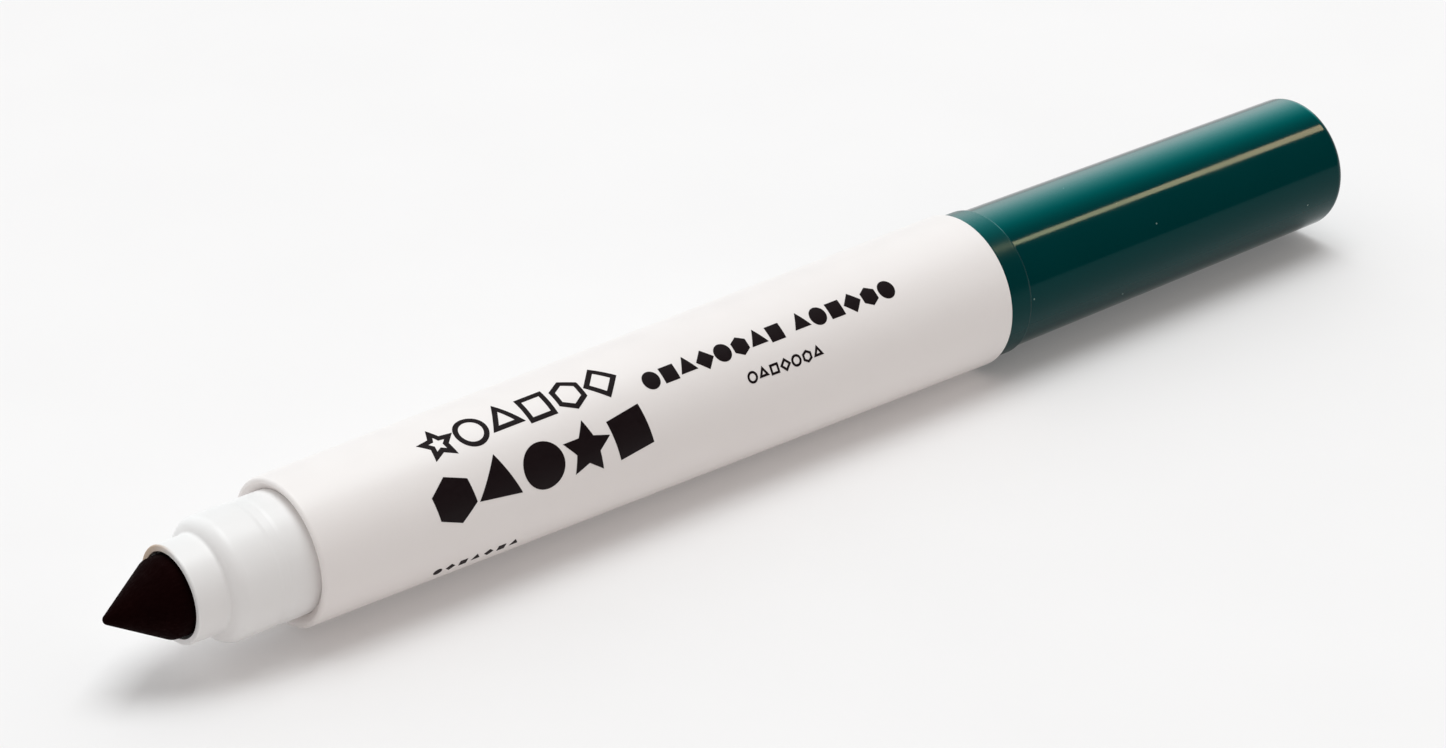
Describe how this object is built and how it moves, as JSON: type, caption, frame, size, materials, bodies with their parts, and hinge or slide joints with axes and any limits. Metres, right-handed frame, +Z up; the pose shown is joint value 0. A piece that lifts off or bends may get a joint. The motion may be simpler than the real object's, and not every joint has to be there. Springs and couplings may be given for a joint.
{
  "type": "fibre-tip marker",
  "caption": "Felt-tip colouring marker lying on its side: tapered white barrel, stepped neck, conical nib and a green cap pushed onto the rear end.",
  "frame": {"origin": "on the surface that the marker lies on, under the middle of its box", "axes": "+X along the marker from the nib to the cap's closed end, +Z up, +Y across it"},
  "size_m": [0.141, 0.015, 0.0149],
  "materials": {
    "barrel_plastic": "warm white moulded plastic, soft gloss",
    "holder_plastic": "cool white moulded plastic, glossy",
    "nib_felt": "bonded fibre soaked with dark ink",
    "reservoir_fibre": "fibre rod soaked with green ink",
    "film_plastic": "thin clear wrap film",
    "cap_plastic": "dark green moulded plastic, high gloss",
    "seal_plastic": "soft natural-white moulded plastic",
    "print_ink": "screen-printed ink on the barrel, near-black"
  },
  "bodies": {
    "barrel_body": {"barrel": "barrel_plastic", "nib_holder": "holder_plastic", "nib": "nib_felt", "reservoir_core": "reservoir_fibre", "reservoir_film": "film_plastic", "end_plug": "holder_plastic"},
    "cap_body": {"cap": "cap_plastic", "cap_inner_seal": "seal_plastic"}
  },
  "joints": [
    {"name": "cap_slide", "type": "slide", "parent": "barrel_body", "child": "cap_body", "axis": [1, 0, 0], "range_m": [0, 0.012]}
  ]
}
